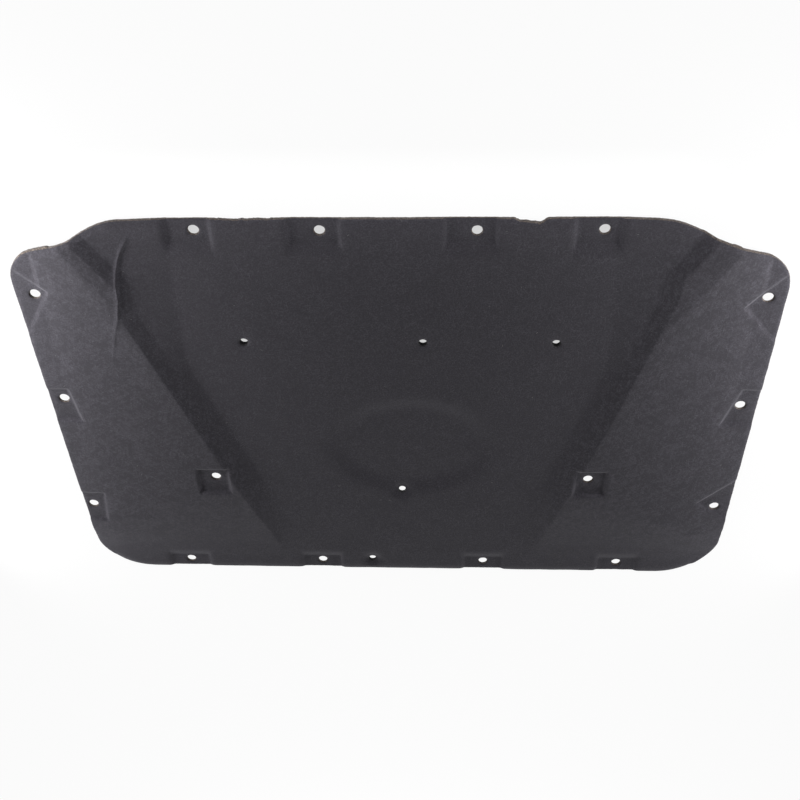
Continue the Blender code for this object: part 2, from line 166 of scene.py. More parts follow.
# Loose fibres on the cut edges, and lint on the face
FUZZ_LENGTH, FUZZ_THICKNESS, FUZZ_BEND, FUZZ_TUMBLE = 0.0022, 0.00011, 0.35, 1.3
FUZZ_SIZE, FUZZ_LEAST, FUZZ_FRAYED = 0.6, 0.15, 1.6
FUZZ_SWELL = ((0.5, 0.013, 71),)
FUZZ_HEIGHT = 0.6            # share of the thickness at which the fuzz grows
LINT_COUNT, LINT_LENGTH, LINT_THICKNESS, LINT_BEND, LINT_TUMBLE = 90, 0.0034, 0.00026, 0.4, 0.06
LINT_LIFT, LINT_SIZES = 0.0002, (0.3, 1.2)
FIBRE_JOINTS, FIBRE_SIDES = 4, 3

# Floor, and the part of it in the pad's own shadow that shows through the holes of the rear half
FLOOR_REACH, FLOOR_HEIGHT, FLOOR_GREY, FLOOR_GLOW = 40.0, -0.0004, 0.86, 0.94
SHADE_HALF, SHADE_FRONT, SHADE_REAR, SHADE_TONE = 0.345, 0.05, 0.398, 0.67

# Camera and lamps
CAMERA_PLACE, CAMERA_LENS = (0.0448, 1.3389, 1.4278), 50.69
CAMERA_TILT, CAMERA_YAW, CAMERA_ROLL = 47.62, 1.31, 0.36
LEFT_POWERS, RIGHT_POWERS = (0.95, 1.1, 3.6), (0.65, 1.15, 2.5)
SIDE_LAMP_OUT, SIDE_LAMP_UP, SIDE_LAMP_SIZE = 0.80, 0.17, (0.25, 0.25)
AMBIENT = 0.25


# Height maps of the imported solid

def merged_copy(node):
    bm = bmesh.new()
    bm.from_mesh(node.data)
    bmesh.ops.remove_doubles(bm, verts=bm.verts, dist=2e-5)
    bm.normal_update()
    return bm


def map_axes():
    low, high = cad_box
    xs = np.arange(math.floor(low.x / RASTER) - 4, math.ceil(high.x / RASTER) + 5) * RASTER
    ys = np.arange(math.floor(low.y / RASTER) - 4, math.ceil(high.y / RASTER) + 5) * RASTER
    return xs, ys


def height_map(solid, upward, xs, ys):
    """Height of the solid's upward or downward faces at each point of the map, and where it has any."""
    heights = np.zeros((len(ys), len(xs)))
    known = np.zeros_like(heights)
    for face in solid.faces:
        if face.normal.z * (1 if upward else -1) < LEVEL:
            continue
        (ax, ay, az), (bx, by, bz), (cx, cy, cz) = (v.co for v in face.verts)
        i0, i1 = np.searchsorted(xs, (min(ax, bx, cx) - 1e-6, max(ax, bx, cx) + 1e-6))
        j0, j1 = np.searchsorted(ys, (min(ay, by, cy) - 1e-6, max(ay, by, cy) + 1e-6))
        area = (bx - ax) * (cy - ay) - (cx - ax) * (by - ay)
        if i1 <= i0 or j1 <= j0 or abs(area) < 1e-12:
            continue
        gx, gy = xs[None, i0:i1], ys[j0:j1, None]
        wb = ((gx - ax) * (cy - ay) - (cx - ax) * (gy - ay)) / area
        wc = ((bx - ax) * (gy - ay) - (gx - ax) * (by - ay)) / area
        hit = (wb >= -1e-6) & (wc >= -1e-6) & (wb + wc <= 1 + 1e-6)
        values = az + wb * (bz - az) + wc * (cz - az)
        heights[j0:j1, i0:i1] = np.where(hit, values, heights[j0:j1, i0:i1])
        known[j0:j1, i0:i1] = np.where(hit, 1.0, known[j0:j1, i0:i1])
    return heights, known


def blurred(values, width):
    reach = int(math.ceil(3 * width / RASTER))
    offsets = np.arange(-reach, reach + 1)
    weights = np.exp(-0.5 * (offsets * RASTER / width) ** 2)
    weights /= weights.sum()
    for axis in (0, 1):
        padded = np.pad(values, [(reach, reach) if a == axis else (0, 0) for a in (0, 1)], mode="edge")
        size = values.shape[axis]
        values = sum(w * np.take(padded, range(k, k + size), axis) for k, w in enumerate(weights))
    return values


def softened(heights, known, width):
    """The map with its creases rounded, run on a little past the outline and across the holes."""
    result = blurred(heights * known, width) / np.maximum(blurred(known, width), 1e-9)
    wide = blurred(heights * known, 4 * width) / np.maximum(blurred(known, 4 * width), 1e-9)
    return np.where(blurred(known, width) > 1e-3, result, wide)


def eased(share):
    return share * share * (3.0 - 2.0 * share)


def looseness(face, back):
    """1 where the felt is thick, 0 in a pressed seat."""
    return np.clip((face - back - SEAT_FELT) / (LOOSE_FELT - SEAT_FELT), 0.0, 1.0)


def step_spread(xs, y, inward):
    """How much lower the felt lies for taking the step to the side strip more gently than the solid."""
    out = np.abs(xs - STEP_MIDDLE)[None, :] - STEP_OUT
    gentle = eased(np.clip(1.0 - inward / STEP_SPREAD, 0.0, 1.0))
    sharp = np.clip(out / STEP_WIDTH, 0.0, 1.0)
    kept = np.clip((y - STEP_KEPT[0]) / (STEP_KEPT[1] - STEP_KEPT[0]), 0.0, 1.0)
    return STEP_HEIGHT * (gentle - sharp) * (1.0 - kept)


def side_hollow(xs, ys, face, back):
    """How far the felt sinks below the solid along the sides. A seat sinks too, but stays about level."""
    half = (cad_box[1].x - cad_box[0].x) / 2
    inward = half - np.abs(xs)[None, :]
    y = ys[:, None]
    ridge = RIDGE_IN + RIDGE_LEAN * np.clip(RIDGE_REAR - y, 0.0, 0.5)
    rear = np.clip((y + HOLLOW_GROWS[0]) / HOLLOW_GROWS[1], 0.0, 1.0)
    depth = HOLLOW_FRONT + (HOLLOW_REAR - HOLLOW_FRONT) * rear
    depth = depth * np.clip((y + HOLLOW_STARTS[0]) / HOLLOW_STARTS[1], 0.0, 1.0)
    edge = np.where(xs < 0, HOLLOW_EDGE_LEFT, 0.0)[None, :]
    strip = edge + (1.0 - edge) * inward / SIDE_STRIP
    share = np.where(inward < SIDE_STRIP, strip, (ridge - inward) / (ridge - SIDE_STRIP))
    hollow = depth * np.clip(share, 0.0, 1.0)
    loose = looseness(face, back)
    return (hollow + step_spread(xs, y, inward)) * loose + blurred(hollow, SEAT_LEVELLING) * (1.0 - loose)


def dished(xs, ys, face, known):
    """The face with the dish pressed deeper and rounder than in the solid."""
    x, y = np.abs(xs)[None, :], ys[:, None]
    inside = (x < MIDDLE_HALF) & (y < DISH_REAR) & (y > DISH_FRONT)
    soft = softened(face, known, DISH_SOFTNESS)
    return np.where(inside, soft - np.maximum(MIDDLE_FACE - soft, 0.0) * DISH_GAIN, face)


def pressed(face, back, known):
    """The face softened a little everywhere, and more at the foot of the shelves' walls."""
    low = np.clip((FOOT_TOP - face) / (FOOT_TOP - MIDDLE_FACE), 0.0, 1.0)
    foot = blurred(low * looseness(face, back) * known, FOOT_BLEND)
    return (softened(face, known, FACE_SOFTNESS) * (1.0 - foot)
            + softened(face, known, FOOT_SOFTNESS) * foot)


def felt_maps(solid, xs, ys):
    """Height maps of the felt's face and back, from those of the solid."""
    (face, face_known), (back, back_known) = (height_map(solid, up, xs, ys) for up in (True, False))
    sunk = side_hollow(xs, ys, face, back)
    face = dished(xs, ys, face, face_known) - sunk
    return pressed(face, back - sunk, face_known), softened(back - sunk, back_known, BACK_SOFTNESS)


def sampled(surface, xs, ys, x, y):
    u = np.clip((x - xs[0]) / RASTER, 0, len(xs) - 1.001)
    v = np.clip((y - ys[0]) / RASTER, 0, len(ys) - 1.001)
    i, j = u.astype(int), v.astype(int)
    fu, fv = u - i, v - j
    return ((surface[j, i] * (1 - fu) + surface[j, i + 1] * fu) * (1 - fv)
            + (surface[j + 1, i] * (1 - fu) + surface[j + 1, i + 1] * fu) * fv)


def lumps(x, y, size, seed):
    """Smooth random swellings of about one size, from -1 to 1."""
    draw = np.random.default_rng(seed).uniform(-1, 1, (256, 256))
    u, v = np.asarray(x) / size + 97.3, np.asarray(y) / size + 61.7
    i, j = np.floor(u).astype(int), np.floor(v).astype(int)
    fu, fv = u - i, v - j
    fu, fv = eased(fu), eased(fv)
    a, b = draw[j % 256, i % 256], draw[j % 256, (i + 1) % 256]
    c, d = draw[(j + 1) % 256, i % 256], draw[(j + 1) % 256, (i + 1) % 256]
    return (a * (1 - fu) + b * fu) * (1 - fv) + (c * (1 - fu) + d * fu) * fv


def swell(x, y, kinds):
    """Sum of several kinds of random swellings."""
    return sum(height * lumps(x, y, size, seed) for height, size, seed in kinds)


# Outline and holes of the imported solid

def plan_loops(solid):
    """Closed chains of plan points where the solid's back meets its upright edges, the outline first."""
    following = {}
    for edge in solid.edges:
        if len(edge.link_faces) != 2:
            continue
        upright = [abs(f.normal.z) < UPRIGHT for f in edge.link_faces]
        if upright[0] == upright[1]:
            continue
        if edge.link_faces[1 if upright[0] else 0].normal.z < -LEVEL:
            a, b = edge.verts
            following.setdefault(a, []).append(b)
            following.setdefault(b, []).append(a)
    loops, used = [], set()
    for start in sorted(following, key=lambda v: v.index):
        if start in used:
            continue
        chain, here, last = [], start, None
        while here not in used:
            used.add(here)
            chain.append((here.co.x, here.co.y))
            step = [v for v in following[here] if v is not last and v not in used]
            if not step:
                break
            last, here = here, step[0]
        loops.append(np.array(chain))
    loops.sort(key=lambda c: (-round(np.ptp(c[:, 0]), 4), round(c[:, 0].mean(), 4), round(c[:, 1].mean(), 4)))
    return loops


def turned_left(loop):
    """The chain run anticlockwise."""
    x, y = loop[:, 0], loop[:, 1]
    area = np.sum(x * np.roll(y, -1) - np.roll(x, -1) * y)
    return loop if area > 0 else loop[::-1]


def even(loop, step, softness):
    """The chain with equal spacing, and its corners eased over a short distance."""
    closed = np.vstack([loop, loop[:1]])
    lengths = np.r_[0, np.cumsum(np.hypot(*np.diff(closed, axis=0).T))]
    count = int(round(lengths[-1] / step))
    at = np.arange(count) * lengths[-1] / count
    points = np.stack([np.interp(at, lengths, closed[:, k]) for k in (0, 1)], 1)
    reach = int(3 * softness / step)
    weights = np.exp(-0.5 * (np.arange(-reach, reach + 1) * step / softness) ** 2)
    weights /= weights.sum()
    return sum(w * np.roll(points, k - reach, 0) for k, w in enumerate(weights))


def outward(loop):
    """Unit normals of an anticlockwise chain, away from its inside."""
    along = np.roll(loop, -1, 0) - np.roll(loop, 1, 0)
    along /= np.hypot(*along.T)[:, None]
    return np.stack([along[:, 1], -along[:, 0]], 1)


def cut_outline(loop):
    """The outline as the knife and wear left it: slightly uneven, frayed in one stretch, torn in another."""
    edge = even(turned_left(loop), RIM_STEP, OUTLINE_SOFTNESS)
    normal = outward(edge)
    x, y = edge.T
    rear = y > REAR_EDGE
    waver = swell(x, y, OUTLINE_WAVER)
    frayed = rear & (x > FRAYED[0]) & (x < FRAYED[1])
    waver -= np.where(frayed, FRAY_DEPTH + swell(x, y, FRAY_ROUGH), 0.0)
    bite = np.interp(x, *np.array(TORN_BITE).T) * rear
    bite += np.where(bite > TORN_FROM, swell(x, y, TEAR_ROUGH), 0.0)
    edge = edge + normal * waver[:, None]
    edge[:, 1] -= bite
    return edge, outward(edge), np.clip(bite / TORN_FULL, 0, 1) + np.where(frayed, FRAY_SHARE, 0.0)


def punched(loop, seed):
    """A hole as a clean round with a trace of unevenness. Its chain runs clockwise, so outward is inwards."""
    centre = loop.mean(0)
    radius = np.hypot(*(loop - centre).T).mean() * math.cos(math.pi / len(loop))
    sides = CLIP_HOLE_SIDES if radius > SMALL_HOLE_LIMIT else SMALL_HOLE_SIDES
    a = -2 * math.pi * np.arange(sides) / sides
    rough = HOLE_ROUGH * lumps(np.cos(a), np.sin(a), HOLE_ROUGH_SIZE, seed)
    reach = radius - HOLE_TIGHTER + rough
    return centre + np.stack([np.cos(a), np.sin(a)], 1) * reach[:, None], centre, radius


def cut_loops(solid):
    """The outline and the holes as cut, with their normals and fray, and each hole's centre and radius."""
    chains = plan_loops(solid)
    edge, normal, frayed = cut_outline(chains[0])
    loops, normals, fray, holes = [edge], [normal], [frayed], []
    for k, chain in enumerate(chains[1:]):
        loop, centre, radius = punched(chain, 40 + k)
        loops.append(loop)
        normals.append(outward(loop))
        fray.append(np.zeros(len(loop)))
        holes.append((centre, radius))
    return loops, normals, np.concatenate(fray), holes


# Plan meshes

def crease_points(solid, upward, step, beside=(0.0,)):
    """Points along the solid's creases, or beside them, so that the fine mesh follows them."""
    points = []
    way = 1 if upward else -1
    for edge in solid.edges:
        if len(edge.link_faces) != 2:
            continue
        f, g = edge.link_faces
        if min(f.normal.z * way, g.normal.z * way) < LEVEL or f.normal.angle(g.normal) < CREASE_ANGLE:
            continue
        a, b = (np.array(v.co[:2]) for v in edge.verts)
        length = np.hypot(*(b - a))
        count = max(1, int(math.ceil(length / step)))
        across = np.array((a[1] - b[1], b[0] - a[0])) / max(length, 1e-9)
        points += [a + (b - a) * k / count + across * off for off in beside for k in range(count + 1)]
    return points


def thinned(groups, step, near):
    """The points of each (points, gap) that keep that gap from each other and from those already placed."""
    cells = {}

    def crowded(p, gap):
        i, j = int(p[0] // step), int(p[1] // step)
        return any(math.dist(p, q) < gap for di in (-1, 0, 1) for dj in (-1, 0, 1)
                   for q in cells.get((i + di, j + dj), ()))

    def place(p):
        cells.setdefault((int(p[0] // step), int(p[1] // step)), []).append(p)

    for p in near:
        place(tuple(p))
    kept = []
    for points, gap in groups:
        for p in points:
            p = (float(p[0]), float(p[1]))
            if not crowded(p, gap):
                place(p)
                kept.append(p)
    return kept


def honeycomb(step):
    low, high = cad_box
    points = []
    row, y = 0, low.y
    while y < high.y:
        x = low.x + (row % 2) * step / 2
        while x < high.x:
            points.append((x, y))
            x += step
        y += step * math.sqrt(0.75)
        row += 1
    return points


def in_felt(points, loops):
    """For each point, True if it is inside the outline and outside the holes."""
    odd = np.zeros(len(points), bool)
    for loop in loops:
        a, b = loop, np.roll(loop, -1, 0)
        for start in range(0, len(points), 4000):
            px, py = points[start:start + 4000, 0, None], points[start:start + 4000, 1, None]
            spans = (a[None, :, 1] > py) != (b[None, :, 1] > py)
            with np.errstate(divide="ignore", invalid="ignore"):
                cross = a[None, :, 0] + (b - a)[None, :, 0] * (py - a[None, :, 1]) / (b - a)[None, :, 1]
            odd[start:start + 4000] ^= (np.sum(spans & (px < cross), 1) % 2).astype(bool)
    return odd


def plan_mesh(loops, groups, step):
    """Plan points, the loops' first, and the triangles between them."""
    rim = np.vstack(loops)
    fill = np.array(thinned(groups, step, rim))
    fill = fill[in_felt(fill, loops)]
    points = np.vstack([rim, fill])
    edges, start = [], 0
    for loop in loops:
        edges += [(start + k, start + (k + 1) % len(loop)) for k in range(len(loop))]
        start += len(loop)
    verts, _, faces, _, _, _ = delaunay_2d_cdt([Vector(p) for p in points], edges, [], 0, 1e-7)
    if len(verts) != len(points):
        raise RuntimeError("the plan has points that coincide")
    faces = np.array(faces)
    loose = (faces < len(rim)).all(1)
    middles = points[faces].mean(1)
    keep = np.ones(len(faces), bool)
    keep[loose] = in_felt(middles[loose], loops)
    faces = faces[keep]
    a, b, c = (points[faces[:, k]] for k in (0, 1, 2))
    turn = (b[:, 0] - a[:, 0]) * (c[:, 1] - a[:, 1]) - (c[:, 0] - a[:, 0]) * (b[:, 1] - a[:, 1])
    faces[turn < 0] = faces[turn < 0][:, ::-1]
    return points, faces


# Shapes that handling left in the face

def fold_heights(x, y):
    """The fold in the left shelf: a gentle left flank and a short right one."""
    best = np.full(len(x), 9.0)
    side = np.zeros(len(x))
    height = np.zeros(len(x))
    for (x0, y0, h0), (x1, y1, h1) in zip(FOLD, FOLD[1:]):
        dx, dy = x1 - x0, y1 - y0
        t = np.clip(((x - x0) * dx + (y - y0) * dy) / (dx * dx + dy * dy), 0, 1)
        d = np.hypot(x - x0 - t * dx, y - y0 - t * dy)
        nearer = d < best
        best = np.where(nearer, d, best)
        side = np.where(nearer, (x - x0) * dy - (y - y0) * dx, side)
        height = np.where(nearer, h0 + (h1 - h0) * t, height)
    width = np.where(side > 0, FOLD_LEFT, FOLD_RIGHT)
    return height * np.exp(-np.power(best / width, FOLD_POWER))


def fold_points(step):
    """Rows of points along the fold and beside it."""
    points = []
    for (x0, y0, _), (x1, y1, _) in zip(FOLD, FOLD[1:]):
        along = Vector((x1 - x0, y1 - y0))
        count = int(along.length / step)
        across = Vector((-along.y, along.x)).normalized()
        for k in range(count):
            for offset in range(-FOLD_ROWS, FOLD_ROWS + 1):
                points.append((x0 + along.x * k / count + across.x * offset * step,
                               y0 + along.y * k / count + across.y * offset * step))
    return points


def dimples(x, y, holes):
    """How far the face sinks towards the holes that have no seat."""
    depth = np.zeros(len(x))
    for centre, radius in holes:
        if radius < SMALL_HOLE_LIMIT:
            away = np.hypot(x - centre[0], y - centre[1]) - radius
            deepest = MIDDLE_DIMPLE if centre[1] > 0 else FRONT_DIMPLE
            depth += deepest * np.exp(-(np.maximum(away, 0) / DIMPLE_WIDTH) ** 2)
    return depth


# The pad

def rim_rows(xy_rows, normals, bottom, top, fray, shows):
    """The rows of the cut edge between the face and the back, with the core standing out where it shows."""
    rows = []
    for r, (_, _, share) in enumerate(RIM_ROWS[1:-1], 1):
        xy = xy_rows[r]
        count = np.arange(len(xy))
        rough = lumps(count * 1.7, np.full(len(xy), r * 3.1), 1.0, 50 + r)
        out = rough * (RIM_ROUGH + RIM_ROUGH_FRAYED * fray) + (shows if r > 1 else 0.0)
        uneven = RIM_UNEVEN * lumps(count, np.full(len(xy), r * 5.3), 1.3, 60 + r)
        rows.append(np.column_stack([xy + normals * out[:, None], bottom + (top - bottom) * share + uneven]))
    return rows


def rim_faces(sizes, starts, small_hole_shade):
    """The faces of the cut edge, row by row, and their material slots. The walls of small holes take the dark
    backing's slot, as painted shade inside them.
    """
    here = np.arange(sum(sizes))
    after = here + 1
    first = 0
    for size in sizes:
        after[first + size - 1] = first
        first += size
    quads, slots = [], []
    for a, b, slot in zip(starts, starts[1:], RIM_SLOTS):
        quads.append(np.column_stack([a + here, b + here, b + after, a + after]))
        slots += np.where(small_hole_shade, BACK_AND_HOLE_SHADE_RIM, slot).tolist()
    return np.vstack(quads), slots


def pad_mesh(node):
    """The pad's mesh, the points on its cut edges where fuzz grows, their fray, and the face's points."""
    solid = merged_copy(node)
    xs, ys = map_axes()
    face_map, back_map = felt_maps(solid, xs, ys)
    loops, normals, fray, holes = cut_loops(solid)
    xy_rows = []
    for edge_out, hole_out, _ in RIM_ROWS:
        outs = [edge_out] + [hole_out] * len(holes)
        xy_rows.append(np.vstack([loop + normal * out for loop, normal, out in zip(loops, normals, outs)]))
    sizes = [len(loop) for loop in loops]
    cuts = np.cumsum(sizes)[:-1]

    groups = [(fold_points(FOLD_STEP), FOLD_GAP),
              (crease_points(solid, True, FACE_CREASE_STEP, FACE_CREASE_ROWS), FACE_CREASE_GAP),
              (honeycomb(FACE_STEP), FACE_GAP * FACE_STEP)]
    face_points, face_tris = plan_mesh(np.split(xy_rows[0], cuts), groups, FACE_STEP)
    groups = [(crease_points(solid, False, BACK_CREASE_STEP), BACK_CREASE_GAP),
              (honeycomb(BACK_STEP), BACK_GAP * BACK_STEP)]
    back_points, back_tris = plan_mesh(np.split(xy_rows[-1], cuts), groups, BACK_STEP)
    solid.free()

    def face_height(x, y):
        level = sampled(face_map, xs, ys, x, y) + swell(x, y, FACE_SWELL)
        return level + fold_heights(x, y) - dimples(x, y, holes)

    def back_height(x, y):
        return np.maximum(sampled(back_map, xs, ys, x, y), 0.0)

    rim_xy = np.vstack(loops)
    shows = np.interp(rim_xy[:, 0], *np.array(CORE_SHOWS).T) * (rim_xy[:, 1] > CORE_SHOWS_FROM)
    shows[sizes[0]:] = 0.0
    top, bottom = face_height(*rim_xy.T), back_height(*rim_xy.T)
    rows = rim_rows(xy_rows, np.vstack(normals), bottom, top, fray, shows)
    face = np.column_stack([face_points, face_height(*face_points.T)])
    back = np.column_stack([back_points, back_height(*back_points.T)])

    starts = [0] + [len(face) + k * len(rim_xy) for k in range(len(rows) + 1)]
    # The walls of small holes get the dark backing: painted shade inside the holes
    small_hole_shade = np.repeat([False] + [radius < SMALL_HOLE_LIMIT for _, radius in holes], sizes)
    quads, slots = rim_faces(sizes, starts, small_hole_shade)
    faces = [tuple(map(int, f)) for f in (*face_tris, *(back_tris[:, ::-1] + starts[-1]), *quads)]
    material_index = [FACE_RIM] * len(face_tris) + [BACK_AND_HOLE_SHADE_RIM] * len(back_tris) + slots
    mesh = bpy.data.meshes.new("moulded_felt")
    mesh.from_pydata(np.vstack([face, *rows, back]).tolist(), [], faces)
    mesh.polygons.foreach_set("material_index", np.array(material_index, np.int32))
    mesh.shade_smooth()
    mesh.validate()
    cut_edge = np.column_stack([xy_rows[2], bottom + (top - bottom) * FUZZ_HEIGHT])
    return mesh, cut_edge, fray, face


# Placing

def placed(name, data):
    """An object of that data, in the scene."""
    thing = bpy.data.objects.new(name, data)
    bpy.context.scene.collection.objects.link(thing)
    return thing


# Shader parts

def link_all(tree, *pairs):
    for source, target in pairs:
        tree.links.new(source, target)


def math_node(tree, operation, a, b=None, c=None, clamp=False):
    node = tree.nodes.new("ShaderNodeMath")
    node.operation = operation
    node.use_clamp = clamp
    for socket, value in zip(node.inputs, (a, b, c)):
        if value is None:
            continue
        if isinstance(value, (int, float)):
            socket.default_value = value
        else:
            tree.links.new(value, socket)
    return node.outputs[0]


def noise(tree, vector, scale, detail=2.0, roughness=0.5, distortion=0.0):
    node = tree.nodes.new("ShaderNodeTexNoise")
    node.inputs["Scale"].default_value = scale
    node.inputs["Detail"].default_value = detail
    node.inputs["Roughness"].default_value = roughness
    node.inputs["Distortion"].default_value = distortion
    tree.links.new(vector, node.inputs["Vector"])
    return node.outputs["Fac"]


def drawn_out(tree, vector, turn, length, width):
    """Coordinates in which a pattern comes out drawn to one length and width, along one direction."""
    node = tree.nodes.new("ShaderNodeMapping")
    node.vector_type = "TEXTURE"
    node.inputs["Rotation"].default_value = (0.0, 0.0, math.radians(turn))
    node.inputs["Scale"].default_value = (length, width, width)
    tree.links.new(vector, node.inputs["Vector"])
    return node.outputs["Vector"]


def spread(tree, value, low, high, to_low=0.0, to_high=1.0):
    node = tree.nodes.new("ShaderNodeMapRange")
    node.interpolation_type = "SMOOTHSTEP"
    for name, number in (("From Min", low), ("From Max", high), ("To Min", to_low), ("To Max", to_high)):
        node.inputs[name].default_value = number
    tree.links.new(value, node.inputs["Value"])
    return node.outputs["Result"]


def mixed(tree, share, a, b):
    node = tree.nodes.new("ShaderNodeMix")
    node.data_type = "RGBA"
    for name, value in (("Factor", share), ("A", a), ("B", b)):
        socket = next(s for s in node.inputs if s.name == name and s.enabled)
        if isinstance(value, tuple):
            socket.default_value = value
        elif isinstance(value, (int, float)):
            socket.default_value = value
        else:
            tree.links.new(value, socket)
    return next(s for s in node.outputs if s.enabled)


def needled_fibres():
    """Short matted fibres in many directions: pale strands, brushed nap, a mottle, a grain and a height."""
    tree = bpy.data.node_groups.new("needled_fibres", "ShaderNodeTree")
    tree.interface.new_socket("Coordinates", in_out="INPUT", socket_type="NodeSocketVector")
    strand_width = tree.interface.new_socket("Strand Width", in_out="INPUT", socket_type="NodeSocketFloat")
    strand_width.default_value = 1.0
    for name in ("Strands", "Brushed", "Mottle", "Grain", "Height"):
        tree.interface.new_socket(name, in_out="OUTPUT", socket_type="NodeSocketFloat")
    given, out = tree.nodes.new("NodeGroupInput"), tree.nodes.new("NodeGroupOutput")
    scaled = tree.nodes.new("ShaderNodeVectorMath")
    scaled.operation = "SCALE"
    link_all(tree, (given.outputs["Coordinates"], scaled.inputs[0]),
             (given.outputs["Strand Width"], scaled.inputs["Scale"]))
    swirl = tree.nodes.new("ShaderNodeTexNoise")
    swirl.inputs["Scale"].default_value = SWIRL_SCALE
    swirl.inputs["Detail"].default_value = 1.0
    push = tree.nodes.new("ShaderNodeVectorMath")
    push.operation = "MULTIPLY_ADD"
    push.inputs[1].default_value = (SWIRL_PUSH, SWIRL_PUSH, 0.0)
    link_all(tree, (scaled.outputs[0], swirl.inputs["Vector"]), (swirl.outputs["Color"], push.inputs[0]),
             (scaled.outputs[0], push.inputs[2]))
    strands = None
    for turn, length, width in STRANDS:
        lines = noise(tree, drawn_out(tree, push.outputs[0], turn, length, width), 1.0, 1.5, 0.5, 0.4)
        lines = spread(tree, lines, 0.58, 0.78)
        strands = lines if strands is None else math_node(tree, "MAXIMUM", strands, lines)
    brushed = None
    for turn in STROKE_TURNS:
        stretched = drawn_out(tree, push.outputs[0], turn, STROKE_LENGTH, STROKE_WIDTH)
        strokes = noise(tree, stretched, 1.0, 2.0, 0.6, 0.8)
        brushed = strokes if brushed is None else math_node(tree, "ADD", brushed, strokes)
    brushed = math_node(tree, "DIVIDE", brushed, float(len(STROKE_TURNS)))
    mottle = noise(tree, scaled.outputs[0], MOTTLE_SCALE, 3.0, 0.55)
    grain = noise(tree, scaled.outputs[0], GRAIN_SCALE, 2.0, 0.6)
    height = math_node(tree, "MULTIPLY_ADD", strands, 0.55, math_node(tree, "MULTIPLY", grain, 0.6))
    for name, value in (("Strands", strands), ("Brushed", brushed), ("Mottle", mottle), ("Grain", grain),
                        ("Height", height)):
        tree.links.new(value, out.inputs[name])
    return tree


def new_material(name):
    material = bpy.data.materials.new(name)
    material.use_nodes = True
    return material, material.node_tree, material.node_tree.nodes["Principled BSDF"]


def fibre_nodes(tree, group, width):
    place = tree.nodes.new("ShaderNodeTexCoord")
    fibres = tree.nodes.new("ShaderNodeGroup")
    fibres.node_tree = group
    fibres.inputs["Strand Width"].default_value = width
    tree.links.new(place.outputs["Object"], fibres.inputs["Coordinates"])
    return fibres


def shelf_wear(tree, wear):
    """How much the nap is brushed up: little in the low middle, all of it on the shelves."""
    place, parts = tree.nodes.new("ShaderNodeTexCoord"), tree.nodes.new("ShaderNodeSeparateXYZ")
    tree.links.new(place.outputs["Object"], parts.inputs[0])
    return spread(tree, parts.outputs["Z"], WEAR_LOW, WEAR_HIGH, WEAR_LEAST * wear, wear)


def felt_material(name, group, tones, rough, sheen, bump, width=1.0, strand_share=0.5, wear=0.0):
    """Felt of dark fibre with paler strands, and with its nap brushed up by wear."""
    material, tree, shader = new_material(name)
    fibres = fibre_nodes(tree, group, width)
    grain = spread(tree, fibres.outputs["Grain"], 0.36, 0.72, 0.0, 0.42)
    share = math_node(tree, "MULTIPLY_ADD", fibres.outputs["Strands"], strand_share, grain, clamp=True)
    mottle = spread(tree, fibres.outputs["Mottle"], 0.3, 0.7, 0.78, 1.2)
    share = math_node(tree, "MULTIPLY", share, mottle, clamp=True)
    if wear:
        nap = spread(tree, fibres.outputs["Brushed"], 0.40, 0.60, -1.0, 1.0)
        share = math_node(tree, "MULTIPLY_ADD", nap, shelf_wear(tree, wear), share, clamp=True)
    dark, pale = tones
    colour = mixed(tree, share, (*dark, 1.0), (*pale, 1.0))
    roughness = spread(tree, fibres.outputs["Strands"], 0.0, 1.0, rough, rough - 0.12)
    shader.inputs["Specular IOR Level"].default_value = SPECULAR
    shader.inputs["Sheen Weight"].default_value = sheen
    shader.inputs["Sheen Roughness"].default_value = SHEEN_ROUGHNESS
    shader.inputs["Sheen Tint"].default_value = SHEEN_TINT
    relief = tree.nodes.new("ShaderNodeBump")
    relief.inputs["Strength"].default_value = bump
    relief.inputs["Distance"].default_value = RELIEF
    link_all(tree, (colour, shader.inputs["Base Color"]), (roughness, shader.inputs["Roughness"]),
             (fibres.outputs["Height"], relief.inputs["Height"]),
             (relief.outputs["Normal"], shader.inputs["Normal"]))
    return material


# Loose fibres

